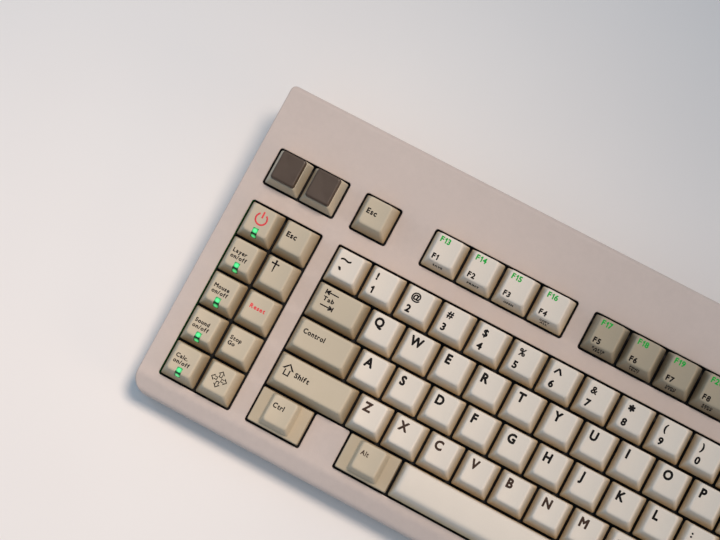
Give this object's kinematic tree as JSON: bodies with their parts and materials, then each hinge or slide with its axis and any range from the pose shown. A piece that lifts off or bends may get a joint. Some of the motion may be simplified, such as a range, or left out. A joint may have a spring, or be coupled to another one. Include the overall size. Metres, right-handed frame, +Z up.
{
  "type": "mechanical keyboard",
  "caption": "Full-size mechanical keyboard with sculpted two-tone key caps, a block of extra keys on the left with green lamp windows, and fold-out tilt feet.",
  "frame": {"origin": "on the desk, under the middle of the housing's outline", "axes": "+X to the right along the key rows, +Y to the rear, +Z up from the desk"},
  "size_m": [0.506, 0.1664, 0.0425],
  "materials": {
    "housing_plastic": "fine moulded grain, warm grey",
    "cream_caps": "fine matte grain, cream",
    "beige_caps": "fine matte grain, beige",
    "olive_caps": "fine matte grain, olive beige",
    "blank_caps": "satin dark brown cover on a beige base",
    "plate_steel": "black powder coat",
    "board_laminate": "green solder mask",
    "switch_plastic": "black moulded nylon",
    "spring_steel": "drawn wire",
    "contact_brass": "plain stamped",
    "lamp_plastic": "clear green epoxy",
    "screw_steel": "zinc plated",
    "foot_rubber": "matte black",
    "foot_plastic": "fine moulded grain",
    "socket_metal": "plated sheet"
  },
  "bodies": {
    "housing": {"bottom_case": "housing_plastic", "cable_socket": "socket_metal", "case_screws": "screw_steel", "circuit_board": "board_laminate", "indicator_lamps": "lamp_plastic", "plate_screws": "screw_steel", "rubber_feet": "foot_rubber", "socket_board": "board_laminate", "stabiliser_housings": "switch_plastic", "stabiliser_wires": "spring_steel", "switch_contacts": "contact_brass", "switch_lower_housings": "switch_plastic", "switch_plate": "plate_steel", "switch_springs": "spring_steel", "switch_upper_housings": "switch_plastic", "top_case": "housing_plastic"},
    "backslash_key_body": {"backslash_key": "beige_caps"},
    "backspace_key_body": {"backspace_key": "beige_caps"},
    "block_key_1_body": {"block_key_1": "beige_caps"},
    "block_key_2_body": {"block_key_2": "beige_caps"},
    "block_key_3_body": {"block_key_3": "beige_caps"},
    "block_key_4_body": {"block_key_4": "beige_caps"},
    "block_key_5_body": {"block_key_5": "beige_caps"},
    "control_key_body": {"control_key": "beige_caps"},
    "down_arrow_key_body": {"down_arrow_key": "beige_caps"},
    "editing_keys_body": {"editing_keys": "beige_caps"},
    "enter_key_body": {"enter_key": "beige_caps"},
    "escape_key_body": {"escape_key": "beige_caps"},
    "first_function_keys_body": {"first_function_keys": "cream_caps"},
    "home_letter_keys_body": {"home_letter_keys": "cream_caps"},
    "lamp_key_1_body": {"lamp_key_1": "beige_caps"},
    "lamp_key_2_body": {"lamp_key_2": "beige_caps"},
    "lamp_key_3_body": {"lamp_key_3": "beige_caps"},
    "lamp_key_4_body": {"lamp_key_4": "beige_caps"},
    "lamp_key_5_body": {"lamp_key_5": "beige_caps"},
    "last_function_keys_body": {"last_function_keys": "cream_caps"},
    "left_alt_key_body": {"left_alt_key": "beige_caps"},
    "left_arrow_key_body": {"left_arrow_key": "beige_caps"},
    "left_blank_key_body": {"left_blank_key": "blank_caps"},
    "left_ctrl_key_body": {"left_ctrl_key": "beige_caps"},
    "left_shift_key_body": {"left_shift_key": "beige_caps"},
    "lower_letter_keys_body": {"lower_letter_keys": "cream_caps"},
    "middle_function_keys_body": {"middle_function_keys": "olive_caps"},
    "number_pad_keys_body": {"number_pad_keys": "cream_caps"},
    "number_row_keys_body": {"number_row_keys": "cream_caps"},
    "pad_enter_key_body": {"pad_enter_key": "beige_caps"},
    "pad_plus_key_body": {"pad_plus_key": "beige_caps"},
    "pad_zero_key_body": {"pad_zero_key": "beige_caps"},
    "right_alt_key_body": {"right_alt_key": "beige_caps"},
    "right_arrow_key_body": {"right_arrow_key": "beige_caps"},
    "right_blank_key_body": {"right_blank_key": "blank_caps"},
    "right_ctrl_key_body": {"right_ctrl_key": "beige_caps"},
    "right_shift_key_body": {"right_shift_key": "beige_caps"},
    "space_bar_body": {"space_bar": "cream_caps"},
    "system_keys_body": {"system_keys": "beige_caps"},
    "tab_key_body": {"tab_key": "beige_caps"},
    "up_arrow_key_body": {"up_arrow_key": "beige_caps"},
    "upper_letter_keys_body": {"upper_letter_keys": "cream_caps"},
    "left_tilt_foot_body": {"left_tilt_foot": "foot_plastic"},
    "right_tilt_foot_body": {"right_tilt_foot": "foot_plastic"}
  },
  "joints": [
    {"name": "backslash_key_press", "type": "slide", "parent": "housing", "child": "backslash_key_body", "axis": [0, 0.1045, -0.9945], "range_m": [0, 0.004], "stiffness_N_per_m": 75, "springref_m": -0.004},
    {"name": "backspace_key_press", "type": "slide", "parent": "housing", "child": "backspace_key_body", "axis": [0, 0.1045, -0.9945], "range_m": [0, 0.004], "stiffness_N_per_m": 75, "springref_m": -0.004},
    {"name": "block_key_1_press", "type": "slide", "parent": "housing", "child": "block_key_1_body", "axis": [0, 0.1045, -0.9945], "range_m": [0, 0.004], "stiffness_N_per_m": 75, "springref_m": -0.004},
    {"name": "block_key_2_press", "type": "slide", "parent": "housing", "child": "block_key_2_body", "axis": [0, 0.1045, -0.9945], "range_m": [0, 0.004], "stiffness_N_per_m": 75, "springref_m": -0.004},
    {"name": "block_key_3_press", "type": "slide", "parent": "housing", "child": "block_key_3_body", "axis": [0, 0.1045, -0.9945], "range_m": [0, 0.004], "stiffness_N_per_m": 75, "springref_m": -0.004},
    {"name": "block_key_4_press", "type": "slide", "parent": "housing", "child": "block_key_4_body", "axis": [0, 0.1045, -0.9945], "range_m": [0, 0.004], "stiffness_N_per_m": 75, "springref_m": -0.004},
    {"name": "block_key_5_press", "type": "slide", "parent": "housing", "child": "block_key_5_body", "axis": [0, 0.1045, -0.9945], "range_m": [0, 0.004], "stiffness_N_per_m": 75, "springref_m": -0.004},
    {"name": "control_key_press", "type": "slide", "parent": "housing", "child": "control_key_body", "axis": [0, 0.1045, -0.9945], "range_m": [0, 0.004], "stiffness_N_per_m": 75, "springref_m": -0.004},
    {"name": "down_arrow_key_press", "type": "slide", "parent": "housing", "child": "down_arrow_key_body", "axis": [0, 0.1045, -0.9945], "range_m": [0, 0.004], "stiffness_N_per_m": 75, "springref_m": -0.004},
    {"name": "editing_keys_press", "type": "slide", "parent": "housing", "child": "editing_keys_body", "axis": [0, 0.1045, -0.9945], "range_m": [0, 0.004], "stiffness_N_per_m": 450, "springref_m": -0.004},
    {"name": "enter_key_press", "type": "slide", "parent": "housing", "child": "enter_key_body", "axis": [0, 0.1045, -0.9945], "range_m": [0, 0.004], "stiffness_N_per_m": 75, "springref_m": -0.004},
    {"name": "escape_key_press", "type": "slide", "parent": "housing", "child": "escape_key_body", "axis": [0, 0.1045, -0.9945], "range_m": [0, 0.004], "stiffness_N_per_m": 75, "springref_m": -0.004},
    {"name": "first_function_keys_press", "type": "slide", "parent": "housing", "child": "first_function_keys_body", "axis": [0, 0.1045, -0.9945], "range_m": [0, 0.004], "stiffness_N_per_m": 300, "springref_m": -0.004},
    {"name": "home_letter_keys_press", "type": "slide", "parent": "housing", "child": "home_letter_keys_body", "axis": [0, 0.1045, -0.9945], "range_m": [0, 0.004], "stiffness_N_per_m": 825, "springref_m": -0.004},
    {"name": "lamp_key_1_press", "type": "slide", "parent": "housing", "child": "lamp_key_1_body", "axis": [0, 0.1045, -0.9945], "range_m": [0, 0.004], "stiffness_N_per_m": 75, "springref_m": -0.004},
    {"name": "lamp_key_2_press", "type": "slide", "parent": "housing", "child": "lamp_key_2_body", "axis": [0, 0.1045, -0.9945], "range_m": [0, 0.004], "stiffness_N_per_m": 75, "springref_m": -0.004},
    {"name": "lamp_key_3_press", "type": "slide", "parent": "housing", "child": "lamp_key_3_body", "axis": [0, 0.1045, -0.9945], "range_m": [0, 0.004], "stiffness_N_per_m": 75, "springref_m": -0.004},
    {"name": "lamp_key_4_press", "type": "slide", "parent": "housing", "child": "lamp_key_4_body", "axis": [0, 0.1045, -0.9945], "range_m": [0, 0.004], "stiffness_N_per_m": 75, "springref_m": -0.004},
    {"name": "lamp_key_5_press", "type": "slide", "parent": "housing", "child": "lamp_key_5_body", "axis": [0, 0.1045, -0.9945], "range_m": [0, 0.004], "stiffness_N_per_m": 75, "springref_m": -0.004},
    {"name": "last_function_keys_press", "type": "slide", "parent": "housing", "child": "last_function_keys_body", "axis": [0, 0.1045, -0.9945], "range_m": [0, 0.004], "stiffness_N_per_m": 300, "springref_m": -0.004},
    {"name": "left_alt_key_press", "type": "slide", "parent": "housing", "child": "left_alt_key_body", "axis": [0, 0.1045, -0.9945], "range_m": [0, 0.004], "stiffness_N_per_m": 75, "springref_m": -0.004},
    {"name": "left_arrow_key_press", "type": "slide", "parent": "housing", "child": "left_arrow_key_body", "axis": [0, 0.1045, -0.9945], "range_m": [0, 0.004], "stiffness_N_per_m": 75, "springref_m": -0.004},
    {"name": "left_blank_key_press", "type": "slide", "parent": "housing", "child": "left_blank_key_body", "axis": [0, 0.1045, -0.9945], "range_m": [0, 0.004], "stiffness_N_per_m": 75, "springref_m": -0.004},
    {"name": "left_ctrl_key_press", "type": "slide", "parent": "housing", "child": "left_ctrl_key_body", "axis": [0, 0.1045, -0.9945], "range_m": [0, 0.004], "stiffness_N_per_m": 75, "springref_m": -0.004},
    {"name": "left_shift_key_press", "type": "slide", "parent": "housing", "child": "left_shift_key_body", "axis": [0, 0.1045, -0.9945], "range_m": [0, 0.004], "stiffness_N_per_m": 75, "springref_m": -0.004},
    {"name": "lower_letter_keys_press", "type": "slide", "parent": "housing", "child": "lower_letter_keys_body", "axis": [0, 0.1045, -0.9945], "range_m": [0, 0.004], "stiffness_N_per_m": 750, "springref_m": -0.004},
    {"name": "middle_function_keys_press", "type": "slide", "parent": "housing", "child": "middle_function_keys_body", "axis": [0, 0.1045, -0.9945], "range_m": [0, 0.004], "stiffness_N_per_m": 300, "springref_m": -0.004},
    {"name": "number_pad_keys_press", "type": "slide", "parent": "housing", "child": "number_pad_keys_body", "axis": [0, 0.1045, -0.9945], "range_m": [0, 0.004], "stiffness_N_per_m": 1050, "springref_m": -0.004},
    {"name": "number_row_keys_press", "type": "slide", "parent": "housing", "child": "number_row_keys_body", "axis": [0, 0.1045, -0.9945], "range_m": [0, 0.004], "stiffness_N_per_m": 975, "springref_m": -0.004},
    {"name": "pad_enter_key_press", "type": "slide", "parent": "housing", "child": "pad_enter_key_body", "axis": [0, 0.1045, -0.9945], "range_m": [0, 0.004], "stiffness_N_per_m": 75, "springref_m": -0.004},
    {"name": "pad_plus_key_press", "type": "slide", "parent": "housing", "child": "pad_plus_key_body", "axis": [0, 0.1045, -0.9945], "range_m": [0, 0.004], "stiffness_N_per_m": 75, "springref_m": -0.004},
    {"name": "pad_zero_key_press", "type": "slide", "parent": "housing", "child": "pad_zero_key_body", "axis": [0, 0.1045, -0.9945], "range_m": [0, 0.004], "stiffness_N_per_m": 75, "springref_m": -0.004},
    {"name": "right_alt_key_press", "type": "slide", "parent": "housing", "child": "right_alt_key_body", "axis": [0, 0.1045, -0.9945], "range_m": [0, 0.004], "stiffness_N_per_m": 75, "springref_m": -0.004},
    {"name": "right_arrow_key_press", "type": "slide", "parent": "housing", "child": "right_arrow_key_body", "axis": [0, 0.1045, -0.9945], "range_m": [0, 0.004], "stiffness_N_per_m": 75, "springref_m": -0.004},
    {"name": "right_blank_key_press", "type": "slide", "parent": "housing", "child": "right_blank_key_body", "axis": [0, 0.1045, -0.9945], "range_m": [0, 0.004], "stiffness_N_per_m": 75, "springref_m": -0.004},
    {"name": "right_ctrl_key_press", "type": "slide", "parent": "housing", "child": "right_ctrl_key_body", "axis": [0, 0.1045, -0.9945], "range_m": [0, 0.004], "stiffness_N_per_m": 75, "springref_m": -0.004},
    {"name": "right_shift_key_press", "type": "slide", "parent": "housing", "child": "right_shift_key_body", "axis": [0, 0.1045, -0.9945], "range_m": [0, 0.004], "stiffness_N_per_m": 75, "springref_m": -0.004},
    {"name": "space_bar_press", "type": "slide", "parent": "housing", "child": "space_bar_body", "axis": [0, 0.1045, -0.9945], "range_m": [0, 0.004], "stiffness_N_per_m": 75, "springref_m": -0.004},
    {"name": "system_keys_press", "type": "slide", "parent": "housing", "child": "system_keys_body", "axis": [0, 0.1045, -0.9945], "range_m": [0, 0.004], "stiffness_N_per_m": 225, "springref_m": -0.004},
    {"name": "tab_key_press", "type": "slide", "parent": "housing", "child": "tab_key_body", "axis": [0, 0.1045, -0.9945], "range_m": [0, 0.004], "stiffness_N_per_m": 75, "springref_m": -0.004},
    {"name": "up_arrow_key_press", "type": "slide", "parent": "housing", "child": "up_arrow_key_body", "axis": [0, 0.1045, -0.9945], "range_m": [0, 0.004], "stiffness_N_per_m": 75, "springref_m": -0.004},
    {"name": "upper_letter_keys_press", "type": "slide", "parent": "housing", "child": "upper_letter_keys_body", "axis": [0, 0.1045, -0.9945], "range_m": [0, 0.004], "stiffness_N_per_m": 900, "springref_m": -0.004},
    {"name": "left_tilt_foot_hinge", "type": "hinge", "parent": "housing", "child": "left_tilt_foot_body", "pos_m": [-0.19, 0.072, 0.0046], "axis": [1, 0, 0], "range_deg": [0, 78]},
    {"name": "right_tilt_foot_hinge", "type": "hinge", "parent": "housing", "child": "right_tilt_foot_body", "pos_m": [0.19, 0.072, 0.0046], "axis": [1, 0, 0], "range_deg": [0, 78]}
  ]
}
